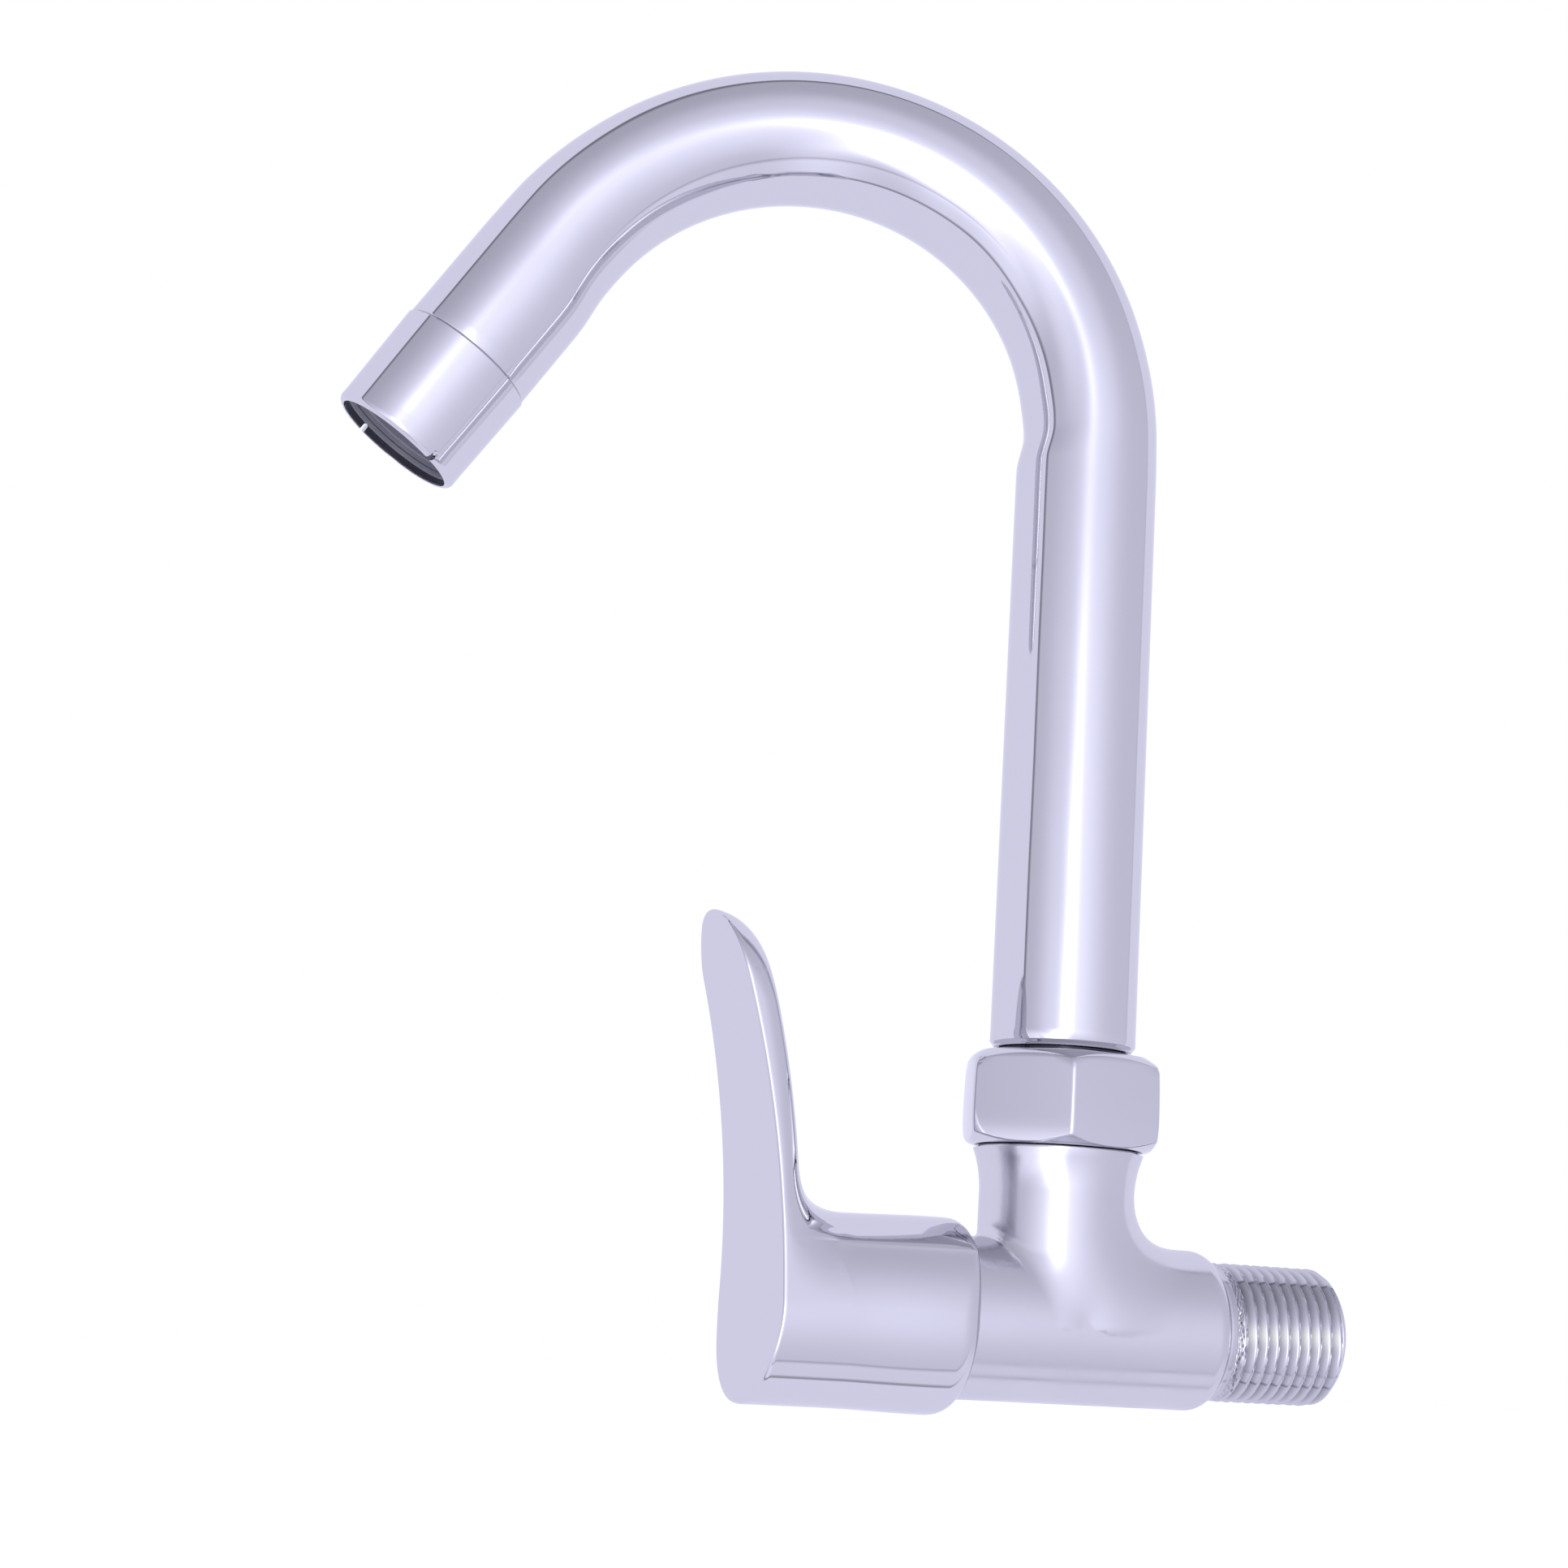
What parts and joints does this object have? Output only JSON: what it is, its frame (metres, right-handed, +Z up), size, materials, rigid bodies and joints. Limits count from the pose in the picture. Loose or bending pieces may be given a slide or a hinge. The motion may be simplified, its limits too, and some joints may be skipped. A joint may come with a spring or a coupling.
{
  "type": "swan neck tap",
  "caption": "Wall tap with a swinging swan neck spout, a quarter turn lever, a ceramic disc cartridge, a swivel nut and a screw-in aerator at the outlet.",
  "frame": {"origin": "on the inlet axis, where the inlet thread starts beside the body", "axes": "+X along the inlet axis into the wall, +Z up the riser, lever at -X"},
  "size_m": [0.1597, 0.0563, 0.2096],
  "materials": {
    "chrome_plate": "polished",
    "turned_brass": "machined",
    "black_rubber": "matte",
    "gasket_fibre": "matte",
    "washer_plastic": "smooth",
    "aerator_plastic": "moulded",
    "stainless_steel": "drawn",
    "disc_ceramic": "lapped"
  },
  "bodies": {
    "root": {"valve_body": "chrome_plate", "swivel_nut": "chrome_plate", "lower_swivel_washer": "washer_plastic", "upper_swivel_washer": "washer_plastic", "seat_washer": "black_rubber", "fixed_disc": "disc_ceramic", "cartridge_housing": "turned_brass", "housing_gasket": "gasket_fibre"},
    "handle": {"lever_handle": "chrome_plate", "spindle": "turned_brass", "moving_disc": "disc_ceramic", "slip_washer": "washer_plastic", "spindle_ring_inner": "black_rubber", "spindle_ring_outer": "black_rubber", "stop_ring": "turned_brass", "spindle_clip": "stainless_steel", "grub_screw": "stainless_steel"},
    "spout": {"spout_tube": "chrome_plate", "spout_shank": "turned_brass", "shank_ring_lower": "black_rubber", "shank_ring_upper": "black_rubber", "outlet_bush": "turned_brass", "aerator_shell": "chrome_plate", "aerator_washer": "black_rubber", "aerator_housing": "aerator_plastic", "diffuser": "aerator_plastic", "upper_screen": "stainless_steel", "lower_screen": "stainless_steel"}
  },
  "joints": [
    {"name": "handle_turn", "type": "hinge", "parent": "root", "child": "handle", "pos_m": [-0.05, 0, 0], "axis": [-1, 0, 0], "range_deg": [0, 90]},
    {"name": "spout_swivel", "type": "hinge", "parent": "root", "child": "spout", "pos_m": [-0.0254, 0, 0.04], "axis": [0, 0, 1], "continuous": true}
  ]
}
